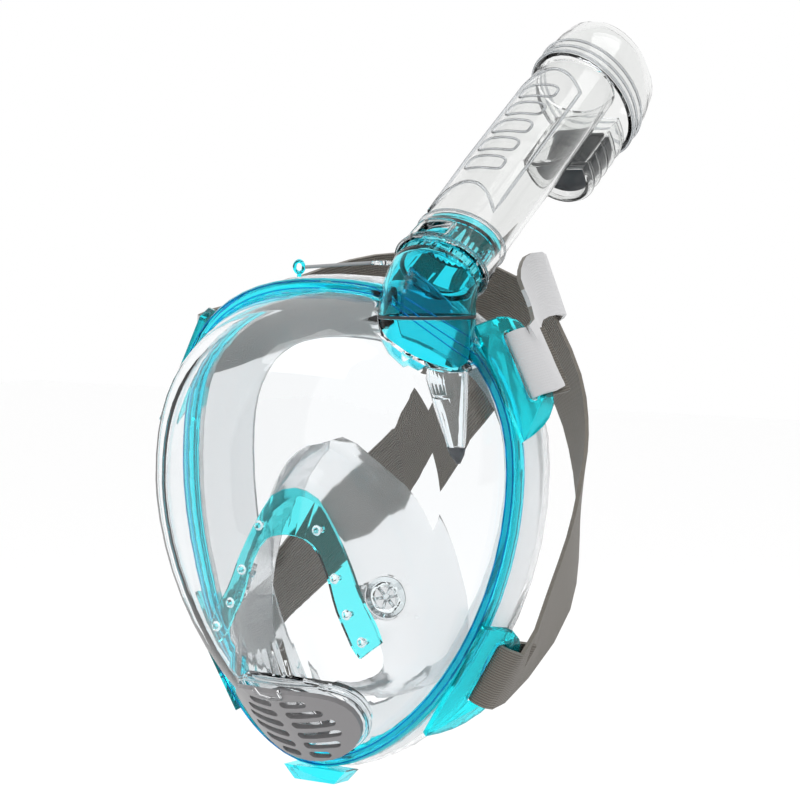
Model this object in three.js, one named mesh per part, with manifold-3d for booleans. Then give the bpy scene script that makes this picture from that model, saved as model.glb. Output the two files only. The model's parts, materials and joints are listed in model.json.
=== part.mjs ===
// Full-face snorkelling mask with a side-mounted dry-top snorkel.
// Millimetres. +X is the wearer's left, -Y the way the wearer looks, +Z up.
// The origin is the centre of the face seal, in the plane of the frame.
import * as THREE from "three";
import { mergeVertices } from "three/addons/utils/BufferGeometryUtils.js";
import Module from "manifold-3d";

const wasm = await Module();
wasm.setup();

const GAP = 0.3;

// Outline of the frame's outer edge, seen from the front: a superellipse, squarer above than below.
const FRAME = { half: 95, up: 81, down: 133, mid: -5, squareUp: 2.33, squareDown: 1.88 };
const FRAME_TOP_FORWARD = 12;
const FRAME_CHIN_FORWARD = 16;
const FRAME_WIDTH = 8;
const FRAME_DEPTH = 8.4;

// The lens: a side wall from the frame to a crease, and a domed front panel inside the crease.
const CREASE = { half: 79, up: 79, down: 113, mid: -15, squareUp: 2.33, squareDown: 1.65 };
const CREASE_FORWARD = 37;
const CREASE_TOP_FORWARD = 29;
const CREASE_CHIN_FORWARD = 24;
const LENS_WALL = 2.2;

// Seal skirt and orinasal pocket.
const SKIRT_WALL = 2.2;
const SKIRT_DEPTH = 25;
const LIP_INSET = 24;
const POCKET_WALL = 1.8;
const BRACKET_THICK = 1.6;
const RIVET_RADIUS = 2.4;

// Snorkel socket, elbow and tube.
const SOCKET = { x: 55, y: -12.4, bottom: 37, seal: 60 };
const SOCKET_RADIUS = 21;
const SOCKET_WALL = 2.2;
const SEAL_THICK = 1.5;
const SNORKEL_LEAN = THREE.MathUtils.degToRad(52);
const BEND_RADIUS = 24;
const TUBE = { halfX: 22, halfY: 16.5, wall: 2, length: 130 };
const COLLAR = { length: 24, thick: 2 };
const NECK = { halfX: 18.6, halfY: 13.6, wall: 2, length: 20 };
const CAP = { halfX: 24.5, halfY: 29.5, back: 10, wall: 1.8, height: 36 };
const HOUSING = { halfX: 17.5, depth: 22, wall: 1.6, from: 95 };
const FLOAT_TRAVEL = 9;
const WINDOW = { width: 15, height: 8, from: 3 };

// Purge valve and its cover on the chin.
const PURGE = { y: -34.1, z: -114.2, tilt: THREE.MathUtils.degToRad(40) };
const COVER = { halfX: 32, halfY: 22, thick: 2.4, sweep: 9, lift: 3.2, plate: 2 };
const PURGE_RADIUS = 14;

// Straps and the lugs that hold them.
const STRAP_WIDTH = 30;
const STRAP_THICK = 1.8;
const LUG_THICK = 3;
const SLOT = { length: 33, width: 6 };
const CORD_RADIUS = 0.8;

const AQUA = { color: 0x16b8d6, roughness: 0.12, metalness: 0 };
const CLEAR = { color: 0xeef4f6, roughness: 0.06, metalness: 0 };
const SILICONE = { color: 0xe6ecec, roughness: 0.35, metalness: 0 };
const GREY = { color: 0x828083, roughness: 0.45, metalness: 0 };
const BLACK = { color: 0x17191b, roughness: 0.5, metalness: 0 };
const WEBBING = { color: 0x66615b, roughness: 0.9, metalness: 0 };

const mask = new THREE.Group();
mask.name = "snorkel_mask";

// ---------- solids ----------

function toSolid(geometry) {
  const bare = geometry.clone();
  bare.deleteAttribute("normal");
  bare.deleteAttribute("uv");
  const merged = mergeVertices(bare, 1e-4);
  return new wasm.Manifold(
    new wasm.Mesh({
      numProp: 3,
      vertProperties: new Float32Array(merged.attributes.position.array),
      triVerts: new Uint32Array(merged.index.array),
    }),
  );
}

function toGeometry(solid) {
  const mesh = solid.getMesh();
  const geometry = new THREE.BufferGeometry();
  geometry.setAttribute("position", new THREE.BufferAttribute(new Float32Array(mesh.vertProperties), 3));
  geometry.setIndex(new THREE.BufferAttribute(new Uint32Array(mesh.triVerts), 1));
  return geometry;
}

function cut(geometry, ...tools) {
  let solid = toSolid(geometry);
  for (const tool of tools) solid = solid.subtract(toSolid(tool));
  return toGeometry(solid);
}

function join(...geometries) {
  let solid = toSolid(geometries[0]);
  for (const other of geometries.slice(1)) solid = solid.add(toSolid(other));
  return toGeometry(solid);
}

function keep(geometry, tool) {
  return toGeometry(toSolid(geometry).intersect(toSolid(tool)));
}

function volume(positions, faces) {
  let sum = 0;
  for (let i = 0; i < faces.length; i += 3) {
    const [a, b, c] = [positions[faces[i]], positions[faces[i + 1]], positions[faces[i + 2]]];
    sum += a.dot(new THREE.Vector3().crossVectors(b, c));
  }
  return sum / 6;
}

// A skin through rings of points, each the same length, or a single point where it closes to a pole.
// With loop the last ring joins the first; without it, open ends are closed by a flat fan.
function loft(rings, loop = false) {
  const points = [];
  const starts = rings.map((ring) => {
    const start = points.length;
    points.push(...ring);
    return start;
  });
  const faces = [];
  const strip = (a, b) => {
    const count = Math.max(rings[a].length, rings[b].length);
    for (let i = 0; i < count; i++) {
      const j = (i + 1) % count;
      if (rings[a].length === 1) faces.push(starts[a], starts[b] + j, starts[b] + i);
      else if (rings[b].length === 1) faces.push(starts[a] + i, starts[a] + j, starts[b]);
      else {
        faces.push(starts[a] + i, starts[a] + j, starts[b] + j);
        faces.push(starts[a] + i, starts[b] + j, starts[b] + i);
      }
    }
  };
  for (let k = 0; k + 1 < rings.length; k++) strip(k, k + 1);
  if (loop) strip(rings.length - 1, 0);
  else {
    const close = (k, turned) => {
      const ring = rings[k];
      if (ring.length === 1) return;
      const centre = ring.reduce((sum, p) => sum.add(p), new THREE.Vector3()).divideScalar(ring.length);
      points.push(centre);
      const hub = points.length - 1;
      for (let i = 0; i < ring.length; i++) {
        const [a, b] = [starts[k] + i, starts[k] + ((i + 1) % ring.length)];
        faces.push(...(turned ? [b, a, hub] : [a, b, hub]));
      }
    };
    close(0, true);
    close(rings.length - 1, false);
  }
  if (volume(points, faces) < 0) faces.reverse();
  const geometry = new THREE.BufferGeometry();
  geometry.setAttribute("position", new THREE.Float32BufferAttribute(points.flatMap((p) => [p.x, p.y, p.z]), 3));
  geometry.setIndex(faces);
  return geometry;
}

function lathe(profile, segments = 32) {
  const points = profile.map(([r, h]) => new THREE.Vector2(r, h));
  const geometry = new THREE.LatheGeometry(points, segments);
  geometry.rotateX(Math.PI / 2);
  const merged = toPlain(geometry);
  return merged;
}

// A three.js geometry with its seam welded and its faces turned outwards.
function toPlain(geometry) {
  const bare = geometry.clone();
  bare.deleteAttribute("normal");
  bare.deleteAttribute("uv");
  const merged = mergeVertices(bare, 1e-4);
  const position = merged.attributes.position;
  const points = Array.from({ length: position.count }, (_, i) => new THREE.Vector3().fromBufferAttribute(position, i));
  const faces = [];
  for (let i = 0; i < merged.index.count; i += 3) {
    const face = [0, 1, 2].map((k) => merged.index.getX(i + k));
    if (new Set(face).size === 3) faces.push(...face);
  }
  if (volume(points, faces) < 0) faces.reverse();
  merged.setIndex(faces);
  return merged;
}

function extrude(shape, depth, bevel = 0) {
  return toPlain(
    new THREE.ExtrudeGeometry(shape, {
      depth: depth - 2 * bevel,
      bevelEnabled: bevel > 0,
      bevelThickness: bevel,
      bevelSize: bevel,
      bevelOffset: -bevel,
      bevelSegments: 1,
      curveSegments: 4,
    }).translate(0, 0, bevel),
  );
}

function add(parent, name, geometry, finish) {
  const mesh = new THREE.Mesh(geometry, new THREE.MeshStandardMaterial(finish));
  mesh.name = name;
  parent.add(mesh);
  return mesh;
}

// ---------- outlines of the frame and the lens ----------

function power(value, exponent) {
  return Math.sign(value) * Math.abs(value) ** exponent;
}

// Point at an angle on a superellipse outline, drawn in from its edge by inset.
function outlinePoint(outline, angle, inset = 0) {
  const upper = Math.sin(angle) >= 0;
  const exponent = 2 / (upper ? outline.squareUp : outline.squareDown);
  const height = (upper ? outline.up : outline.down) - inset;
  return {
    x: (outline.half - inset) * power(Math.cos(angle), exponent),
    z: outline.mid + height * power(Math.sin(angle), exponent),
  };
}

// How far forward the frame's middle line stands at a height.
function frameForward(z) {
  const up = (z - FRAME.mid) / FRAME.up;
  const down = (FRAME.mid - z) / FRAME.down;
  return z > FRAME.mid ? FRAME_TOP_FORWARD * up ** 2 : FRAME_CHIN_FORWARD * down ** 2;
}

function creaseForward(angle) {
  const s = Math.sin(angle);
  const end = s > 0 ? CREASE_TOP_FORWARD : CREASE_CHIN_FORWARD;
  return CREASE_FORWARD + (end - CREASE_FORWARD) * s ** 4;
}

function angles(count) {
  return Array.from({ length: count }, (_, i) => (i / count) * 2 * Math.PI);
}

// A ring parallel to the frame: inset towards the middle, back along +Y.
function frameRing(inset, back, count = 56) {
  return angles(count).map((angle) => {
    const { x, z } = outlinePoint(FRAME, angle, inset);
    return new THREE.Vector3(x, back - frameForward(outlinePoint(FRAME, angle).z), z);
  });
}

function creaseRing(inset, back, count = 56) {
  return angles(count).map((angle) => {
    const { x, z } = outlinePoint(CREASE, angle, inset);
    return new THREE.Vector3(x, back - creaseForward(angle), z);
  });
}

function mixRings(a, b, share) {
  return a.map((p, i) => p.clone().lerp(b[i], share));
}

// Middle line of the front panel, from the crease's top down to its chin end.
const PANEL_LINE = new THREE.SplineCurve(
  [[64, 29], [46, 41], [10, 49], [-50, 52], [-93, 50], [-128, 24]].map(([z, f]) => new THREE.Vector2(z, f)),
);

function panelForward(z) {
  let low = 0;
  let high = 1;
  for (let i = 0; i < 24; i++) {
    const middle = (low + high) / 2;
    if (PANEL_LINE.getPoint(middle).x > z) low = middle;
    else high = middle;
  }
  return PANEL_LINE.getPoint(low).y;
}

// A ring of the front panel, its outline the crease's drawn in to a share of its size.
function panelRing(share, back, inset) {
  const rim = creaseRing(inset, 0);
  const centre = CREASE.mid - 10;
  return rim.map((p) => {
    const z = centre + (p.z - centre) * share;
    const middle = panelForward(z);
    const edge = -p.y - panelForward(p.z);
    return new THREE.Vector3(p.x * share, back - middle - edge * share ** 3, z);
  });
}

// ---------- lens, frame and face seal ----------

const FRAME_LIP = 4.6;
const FRAME_GROOVE = 2.4;

function lensShield() {
  const foot = FRAME_LIP + GAP;
  const outer = [
    frameRing(FRAME_GROOVE + GAP, 0.1),
    frameRing(FRAME_GROOVE + GAP, -2.3),
    frameRing(foot, -2.3),
    frameRing(foot, -FRAME_DEPTH / 2 - 0.6),
    mixRings(frameRing(foot, -FRAME_DEPTH / 2), creaseRing(0, 0), 0.5),
    creaseRing(0, 1.6),
    creaseRing(1.4, 0),
    panelRing(0.82, 0, 0),
    panelRing(0.5, 0, 0),
    panelRing(0.2, 0, 0),
    [new THREE.Vector3(0, -panelForward(CREASE.mid - 10), CREASE.mid - 10)],
  ];
  const inner = [
    [new THREE.Vector3(0, LENS_WALL - panelForward(CREASE.mid - 10), CREASE.mid - 10)],
    panelRing(0.2, LENS_WALL, 0),
    panelRing(0.5, LENS_WALL, 0),
    panelRing(0.82, LENS_WALL, 0),
    creaseRing(LENS_WALL + 0.6, LENS_WALL + 0.6),
    mixRings(frameRing(foot + LENS_WALL, 0), creaseRing(LENS_WALL, LENS_WALL), 0.5),
    frameRing(foot + LENS_WALL, -1.5),
    frameRing(foot + LENS_WALL, 0.1),
  ];
  return loft([...outer.reverse(), ...inner.reverse()]);
}

function rimFrame() {
  const half = FRAME_DEPTH / 2;
  return loft(
    [
      [0, -half + 1.2],
      [1.2, -half],
      [FRAME_LIP, -half],
      [FRAME_LIP, -2.6],
      [FRAME_GROOVE, -2.6],
      [FRAME_GROOVE, 0.4],
      [FRAME_WIDTH, 0.4],
      [FRAME_WIDTH, half - 0.8],
      [FRAME_WIDTH - 1, half],
      [1.2, half],
      [0, half - 1.2],
    ].map(([inset, back]) => frameRing(inset, back)),
    true,
  );
}

// The silicone skirt: a bellows wall behind the frame and a lip turned in towards the face.
function faceSkirt() {
  const start = FRAME_DEPTH / 2 + GAP;
  const end = start + SKIRT_DEPTH;
  return loft(
    [
      [1.2, start],
      [-1.6, start + 6],
      [-1, end - 9],
      [4, end - 1.5],
      [13, end],
      [LIP_INSET, end - 5],
      [LIP_INSET + 0.8, end - 5 - SKIRT_WALL],
      [13.4, end - SKIRT_WALL],
      [5.6, end - 1.5 - SKIRT_WALL],
      [1.2, end - 9.6],
      [0.7, start + 6],
      [3.4, start + SKIRT_WALL],
      [FRAME_WIDTH, start + SKIRT_WALL],
      [FRAME_WIDTH, start],
    ].map(([inset, back]) => frameRing(inset, back, 48)),
    true,
  );
}

// ---------- orinasal pocket and the bracket that holds it to the lens ----------

const RING_COUNT = 48;

// A closed ring through points on the wearer's left, from top centre to bottom centre, mirrored.
function archRing(half) {
  const left = half.map(([x, y, z]) => new THREE.Vector3(x, y, z));
  const right = left.slice(1, -1).reverse().map((p) => new THREE.Vector3(-p.x, p.y, p.z));
  const curve = new THREE.CatmullRomCurve3([...left, ...right], true, "centripetal");
  curve.arcLengthDivisions = 400;
  return curve.getSpacedPoints(RING_COUNT).slice(0, RING_COUNT);
}

// The same ring drawn in by a distance, across the way the wearer looks.
function drawnIn(ring, distance) {
  const count = ring.length;
  return ring.map((p, i) => {
    const along = ring[(i + 1) % count].clone().sub(ring[(i + count - 1) % count]);
    const across = new THREE.Vector3(along.z, 0, -along.x).normalize();
    return p.clone().addScaledVector(across, -distance);
  });
}

const POCKET_FRONT = archRing([
  [0, -29, -18], [13, -29, -24], [23, -29.5, -38], [31, -30, -56], [40, -28, -74], [41, -24, -88], [26, -18, -97], [0, -16, -100],
]);
const POCKET_MIDDLE = archRing([
  [0, -16, 2], [17, -14, -5], [33, -10, -25], [43, -8, -48], [51, -8, -72], [49, -6, -92], [30, -2, -103], [0, 0, -106],
]);
const POCKET_BACK = archRing([
  [0, 0, 4], [16, 4, -6], [36, 12, -25], [49, 15, -48], [54, 16, -70], [50, 14, -90], [30, 9, -104], [0, 6, -107],
]);

function orinasalPocket() {
  const rings = [POCKET_FRONT, mixRings(POCKET_FRONT, POCKET_MIDDLE, 0.5), POCKET_MIDDLE, POCKET_BACK];
  const inner = rings.map((ring) => drawnIn(ring, POCKET_WALL));
  return loft([...rings, ...inner.reverse()], true);
}

// The bracket is an inverted V plate in front of the pocket, its inner edge further forward.
const BRACKET_OUTER = [[0, -14], [11, -17], [20, -28], [28, -41], [33, -51], [37, -60], [42, -67], [45, -72], [47, -77]];
const BRACKET_INNER = [[0, -34], [8, -35], [15, -39], [20, -47], [23, -55], [26, -64], [31, -73], [35, -80], [39, -84]];
const RIVET_PLACES = [[16, -31], [25.5, -51], [32, -66], [40, -77]];

function bracketForward(share) {
  return 32.5 + 4.5 * share;
}

function pocketFrame() {
  const count = 15;
  const outer = new THREE.SplineCurve(BRACKET_OUTER.map(([x, z]) => new THREE.Vector2(x, z)));
  const inner = new THREE.SplineCurve(BRACKET_INNER.map(([x, z]) => new THREE.Vector2(x, z)));
  const station = (t, side) => {
    const o = outer.getPoint(t);
    const i = inner.getPoint(t);
    const lift = bracketForward(0);
    const fall = bracketForward(1);
    return [
      new THREE.Vector3(side * o.x, -lift, o.y),
      new THREE.Vector3(side * i.x, -fall, i.y),
      new THREE.Vector3(side * i.x, -fall - BRACKET_THICK, i.y),
      new THREE.Vector3(side * o.x, -lift - BRACKET_THICK, o.y),
    ];
  };
  const left = Array.from({ length: count }, (_, k) => station(k / (count - 1), 1));
  const right = Array.from({ length: count - 1 }, (_, k) => station((k + 1) / (count - 1), -1));
  const plate = loft([...right.reverse(), ...left]);
  return cut(plate, ...RIVET_PLACES.flatMap(([x, z]) => [1, -1].map((side) => rivetHole(side * x, z))));
}

function rivetHole(x, z) {
  const hole = new THREE.CylinderGeometry(RIVET_RADIUS * 0.5 + GAP, RIVET_RADIUS * 0.5 + GAP, 30, 12);
  return toPlain(hole.translate(x, -34, z));
}

// A push rivet: a domed head on the lens side and a shank through the bracket.
function rivet() {
  const r = RIVET_RADIUS;
  return lathe([[0, -1.6], [r * 0.5, -1.6], [r * 0.5, 1.2], [r, 1.2], [r * 0.8, 2], [0, 2.3]], 12);
}

function bracketMiddle(x) {
  return x < 20 ? 0.62 : 0.45;
}

// ---------- one-way valves ----------

// A valve seat: a flanged sleeve with a cross of bars under a soft flap.
function valveSeat(radius, depth) {
  const ring = lathe(
    [
      [radius - 1.4, -depth],
      [radius, -depth],
      [radius, 0.4],
      [radius + 2.2, 0.4],
      [radius + 2.2, 1.6],
      [radius - 1.4, 1.6],
      [radius - 1.4, -depth],
    ],
    28,
  );
  const bar = (turn) => toPlain(new THREE.BoxGeometry(2 * radius - 1.6, 1.2, 1).translate(0, 0, 1).rotateZ(turn));
  const stem = toPlain(new THREE.CylinderGeometry(1.5, 1.5, 1.6, 12).rotateX(Math.PI / 2).translate(0, 0, 0.8));
  return join(ring, bar(0), bar(Math.PI / 3), bar(-Math.PI / 3), stem);
}

function valveFlap(radius) {
  return lathe([[0, 0], [radius - 1.8, 0], [radius - 1.8, 0.5], [0, 0.5]], 24);
}

// A place on the pocket's side wall and the direction straight out of it.
function pocketSite(side) {
  const index = Math.round(RING_COUNT * 0.225);
  const mirrored = (RING_COUNT - index) % RING_COUNT;
  const at = side > 0 ? index : mirrored;
  const front = POCKET_FRONT[at];
  const middle = POCKET_MIDDLE[at];
  const along = POCKET_FRONT[(at + 1) % RING_COUNT].clone().sub(POCKET_FRONT[at - 1]);
  const out = along.cross(middle.clone().sub(front)).normalize();
  if (out.x * side < 0) out.negate();
  return { place: front.clone().lerp(middle, 0.42), out };
}

function turnedTo(direction) {
  return new THREE.Quaternion().setFromUnitVectors(new THREE.Vector3(0, 0, 1), direction);
}

// ---------- chin: purge valve, cover and bumper ----------

function purgeGroup() {
  const group = new THREE.Group();
  group.position.set(0, PURGE.y, PURGE.z);
  // local +Z leaves the chin forward and down, local +Y runs up the chin
  group.rotation.x = Math.PI / 2 + PURGE.tilt;
  return group;
}

function ovalShape(halfX, halfY, power4 = 2.3) {
  const shape = new THREE.Shape();
  const count = 36;
  for (let i = 0; i < count; i++) {
    const angle = (i / count) * 2 * Math.PI;
    const x = halfX * power(Math.cos(angle), 2 / power4);
    const y = halfY * power(Math.sin(angle), 2 / power4);
    if (i === 0) shape.moveTo(x, y);
    else shape.lineTo(x, y);
  }
  return shape;
}

function slotPath(cx, cy, length, height) {
  const path = new THREE.Path();
  const r = height / 2;
  const h = length / 2 - r;
  path.moveTo(cx - h, cy - r);
  path.lineTo(cx + h, cy - r);
  path.absarc(cx + h, cy, r, -Math.PI / 2, Math.PI / 2, false);
  path.lineTo(cx - h, cy + r);
  path.absarc(cx - h, cy, r, Math.PI / 2, (3 * Math.PI) / 2, false);
  return path;
}

// An oval plate that sweeps back towards its sides, as the chin's curve does.
function sweptOval(grow, low, high) {
  const outline = ovalShape(COVER.halfX + grow, COVER.halfY + grow).getPoints();
  const ring = (share, z) =>
    outline.map((p) => new THREE.Vector3(p.x * share, p.y * share, z - COVER.sweep * ((p.x * share) / COVER.halfX) ** 2));
  const shares = [1, 0.8, 0.6, 0.4, 0.2];
  const pole = (z) => [new THREE.Vector3(0, 0, z)];
  return loft([pole(high), ...shares.toReversed().map((s) => ring(s, high)), ...shares.map((s) => ring(s, low)), pole(low)]);
}

function through(path) {
  const shape = new THREE.Shape(path.getPoints(4).slice(0, -1));
  return extrude(shape, 60).translate(0, 0, -30);
}

function purgeCover() {
  const rows = [[14.5, 13], [8, 18], [1.5, 21], [-5, 21], [-11.5, 18], [-17.5, 11]];
  const slots = rows.flatMap(([y, length]) => [-1, 1].map((side) => through(slotPath(side * (2.4 + length / 2), y, length, 4))));
  return cut(sweptOval(0, 0, COVER.thick), ...slots);
}

function purgePlate() {
  const port = new THREE.CylinderGeometry(PURGE_RADIUS + GAP, PURGE_RADIUS + GAP, 60, 32).rotateX(Math.PI / 2);
  return cut(sweptOval(0, -COVER.lift - COVER.plate, -COVER.lift), toPlain(port));
}

function chinBumper() {
  const shape = new THREE.Shape();
  const top = -FRAME.mid + FRAME.down + GAP;
  shape.moveTo(-17, -top - 0.1);
  shape.lineTo(-11, -top - 6);
  shape.lineTo(11, -top - 6);
  shape.lineTo(17, -top - 0.1);
  shape.lineTo(0, -top);
  return shape;
}

// ---------- snorkel ----------

function ovalRing(halfX, halfY, w, shiftY = 0, count = 32) {
  return angles(count).map((a) => new THREE.Vector3(halfX * Math.cos(a), shiftY + halfY * Math.sin(a), w));
}

function ovalPipe(stations, wall, count = 32) {
  const outer = stations.map(([a, b, w, s = 0]) => ovalRing(a, b, w, s, count));
  const inner = stations.map(([a, b, w, s = 0]) => ovalRing(a - wall, b - wall, w, s, count));
  return loft([...outer, ...inner.reverse()], true);
}

// A round ring at an angle round the bend, for the elbow and what is cut to fit it.
function bendRing(share, inset, count = 32) {
  const turn = SNORKEL_LEAN * share;
  const halfX = SOCKET_RADIUS + (NECK.halfX + COLLAR.thick - SOCKET_RADIUS) * share * 0.5 - inset;
  const halfY = SOCKET_RADIUS + (TUBE.halfY + 0.5 - SOCKET_RADIUS) * share - inset;
  const along = new THREE.Vector3(0, Math.cos(turn), -Math.sin(turn));
  const pivot = new THREE.Vector3(SOCKET.x, SOCKET.y + BEND_RADIUS, SOCKET.seal + SEAL_THICK);
  const centre = pivot.clone().addScaledVector(along, -BEND_RADIUS);
  return angles(count).map((a) =>
    centre
      .clone()
      .add(new THREE.Vector3(halfX * Math.cos(a), 0, 0))
      .addScaledVector(along, halfY * Math.sin(a)),
  );
}

function socketRing(z, shrink, inset, count = 32) {
  const r = SOCKET_RADIUS - shrink - inset;
  return angles(count).map(
    (a) => new THREE.Vector3(SOCKET.x + shrink * 0.75 + r * Math.cos(a), SOCKET.y + shrink * 0.3 + r * Math.sin(a), z),
  );
}

const SOCKET_STATIONS = [[SOCKET.bottom, 9.5], [SOCKET.bottom + 2.5, 6.5], [SOCKET.bottom + 8, 3], [SOCKET.bottom + 15, 0.7], [SOCKET.seal - GAP, 0]];

function socketPipe(inset, wall) {
  const outer = SOCKET_STATIONS.map(([z, shrink]) => socketRing(z, shrink, inset));
  const inner = SOCKET_STATIONS.map(([z, shrink]) => socketRing(z, shrink, inset + wall));
  return loft([...outer, ...inner.reverse()], true);
}

// Space that the socket and elbow need in the lens, frame and skirt.
function socketRoom() {
  const rings = SOCKET_STATIONS.map(([z, shrink]) => socketRing(z, shrink, -GAP));
  rings.push(socketRing(SOCKET.seal + 40, 0, -GAP));
  rings.unshift(socketRing(SOCKET.bottom - GAP, 9.5, -GAP));
  return loft(rings);
}

// Space for the elbow and for the snorkel's collar above it.
function elbowRoom() {
  const rings = [0, 0.25, 0.5, 0.75, 1].map((share) => bendRing(share, -GAP - 0.2));
  const place = snorkelFrame();
  place.updateMatrix();
  const collar = [-4, 40].map((w) =>
    ovalRing(NECK.halfX + TUBE.wall + 2.7, NECK.halfY + TUBE.wall + 2.9, w).map((p) => p.applyMatrix4(place.matrix)),
  );
  return toGeometry(toSolid(loft(rings)).add(toSolid(loft(collar))));
}

// The frame's whole outline as a plug, for pieces that fit against its edge.
function frameRoom() {
  const half = FRAME_DEPTH / 2 + GAP;
  return loft([frameRing(-GAP, -half), frameRing(-GAP, half)]);
}

function elbowShell() {
  const shares = [0, 0.2, 0.4, 0.6, 0.8, 1];
  const outer = shares.map((share) => bendRing(share, 0));
  const inner = shares.map((share) => bendRing(share, SOCKET_WALL));
  return loft([...outer, ...inner.reverse()], true);
}

function snorkelFrame() {
  const group = new THREE.Group();
  const turn = SNORKEL_LEAN;
  group.position.set(
    SOCKET.x,
    SOCKET.y + BEND_RADIUS - BEND_RADIUS * Math.cos(turn),
    SOCKET.seal + SEAL_THICK + BEND_RADIUS * Math.sin(turn),
  );
  group.rotation.x = -turn;
  return group;
}

function snorkelTube() {
  const fit = TUBE.wall + GAP;
  const outer = [
    [NECK.halfX + fit + 1.4, NECK.halfY + fit + 1.6, GAP],
    [NECK.halfX + fit + 1.8, NECK.halfY + fit + 2, 1.8],
    [NECK.halfX + fit + 0.6, NECK.halfY + fit + 1, COLLAR.length - 4],
    [TUBE.halfX - 0.4, TUBE.halfY - 0.5, COLLAR.length + 2],
    [TUBE.halfX, TUBE.halfY, COLLAR.length + 40],
    [TUBE.halfX - 1, TUBE.halfY - 0.5, TUBE.length],
  ].map(([a, b, w]) => ovalRing(a, b, w));
  const inner = [
    [NECK.halfX + GAP, NECK.halfY + GAP, GAP],
    [NECK.halfX + GAP, NECK.halfY + GAP, NECK.length + 1],
    [TUBE.halfX - TUBE.wall - 0.4, TUBE.halfY - TUBE.wall - 0.5, COLLAR.length + 4],
    [TUBE.halfX - TUBE.wall, TUBE.halfY - TUBE.wall, COLLAR.length + 40],
    [TUBE.halfX - TUBE.wall - 1, TUBE.halfY - TUBE.wall - 0.5, TUBE.length],
  ].map(([a, b, w]) => ovalRing(a, b, w));
  const window = toPlain(
    new THREE.BoxGeometry(WINDOW.width, 14, WINDOW.height).translate(0, -NECK.halfY - 4, WINDOW.from + WINDOW.height / 2),
  );
  return cut(loft([...outer, ...inner.reverse()], true), window);
}

function neck() {
  const groove = NECK.length - 5;
  const outer = [
    [-1.8, -3],
    [-1.8, 0],
    [0, 0],
    [0, groove],
    [1.2, groove],
    [1.2, groove + 2.4],
    [0, groove + 2.4],
    [0, NECK.length],
  ].map(([inset, w]) => ovalRing(NECK.halfX - inset, NECK.halfY - inset, w));
  const inner = [-3, NECK.length].map((w) => ovalRing(NECK.halfX - NECK.wall - 0.6, NECK.halfY - NECK.wall - 0.6, w));
  const pocket = toPlain(
    new THREE.BoxGeometry(WINDOW.width, 8, WINDOW.height).translate(0, -NECK.halfY, WINDOW.from + WINDOW.height / 2),
  );
  return cut(loft([...outer, ...inner.reverse()], true), pocket);
}

function neckRing() {
  const groove = NECK.length - 5;
  const section = [[1.2 - GAP, 0.4], [0.1, 0.4], [-0.1, 1.2], [0.1, 2], [1.2 - GAP, 2]];
  return loft(section.map(([inset, w]) => ovalRing(NECK.halfX - inset, NECK.halfY - inset, groove + w)), true);
}

function latchButton() {
  const side = WINDOW.width - 2 * GAP;
  const high = WINDOW.height - 2 * GAP;
  const middle = WINDOW.from + WINDOW.height / 2;
  const pad = toPlain(new THREE.BoxGeometry(side, 1.6, high).translate(0, -NECK.halfY + 1.8, middle));
  const ribs = [-2.2, 0, 2.2].map((w) =>
    toPlain(new THREE.BoxGeometry(side - 3, 0.6, 1).translate(0, -NECK.halfY + 0.8, middle + w)),
  );
  return join(pad, ...ribs);
}

// The cap spans the tube and the float housing behind it.
function topCap() {
  const base = TUBE.length + GAP;
  const steps = [[0, 0], [0.5, 0.1], [0, 0.22], [0.6, 0.5], [2.6, 0.76], [7, 0.92], [14, 0.985]].map(
    ([inset, share]) => [inset, share * CAP.height],
  );
  const outer = steps.map(([inset, h]) => ovalRing(CAP.halfX - inset, CAP.halfY - inset, base + h, CAP.back));
  const inner = steps.map(([inset, h]) =>
    ovalRing(CAP.halfX - inset - CAP.wall, CAP.halfY - inset - CAP.wall, base + (h ? h - CAP.wall + 0.6 : 0), CAP.back),
  );
  const top = [new THREE.Vector3(0, CAP.back, base + CAP.height)];
  const under = [new THREE.Vector3(0, CAP.back, base + CAP.height - CAP.wall)];
  return loft([top, ...outer.reverse(), ...inner, under]);
}

function housingRing(inset, w) {
  const count = 24;
  const flat = TUBE.halfY + 0.6 + inset;
  const half = HOUSING.halfX - inset;
  return Array.from({ length: count + 1 }, (_, i) => {
    const a = (i / count) * Math.PI;
    return new THREE.Vector3(half * Math.cos(a), flat + (HOUSING.depth - 2 * inset) * Math.sin(a) ** 0.8, w);
  });
}

function floatHousing() {
  const top = TUBE.length - GAP;
  return loft(
    [
      housingRing(1, HOUSING.from),
      housingRing(0, HOUSING.from + 2),
      housingRing(0, top),
      housingRing(HOUSING.wall, top),
      housingRing(HOUSING.wall, HOUSING.from + 2),
      housingRing(HOUSING.wall + 1, HOUSING.from),
    ],
    true,
  );
}

function floatBody() {
  const inset = HOUSING.wall + 1.4;
  const base = HOUSING.from + 4;
  return loft([housingRing(inset + 1, base), housingRing(inset, base + 1.5), housingRing(inset, base + 20), housingRing(inset + 1.5, base + 22)]);
}

function floatPad() {
  const inset = HOUSING.wall + 3;
  const base = HOUSING.from + 26 + GAP;
  return loft([housingRing(inset, base), housingRing(inset + 0.4, base + 2)]);
}

// ---------- channels under the snorkel, and its leash ----------

// The wall that parts breathing-in air from breathing-out air round the bend.
function elbowDivider() {
  const rings = [0, 0.2, 0.4, 0.58].map((share) => {
    const ring = bendRing(share, SOCKET_WALL + 0.5, 4);
    const [low, high] = [ring[3], ring[1]];
    return [[low, -0.8], [low, 0.8], [high, 0.8], [high, -0.8]].map(([p, x]) => new THREE.Vector3(SOCKET.x + x, p.y, p.z));
  });
  return loft(rings);
}

const DUCT = { x: 62, y: -9.6, drift: 4, bottom: 5, tip: -2 };

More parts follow.
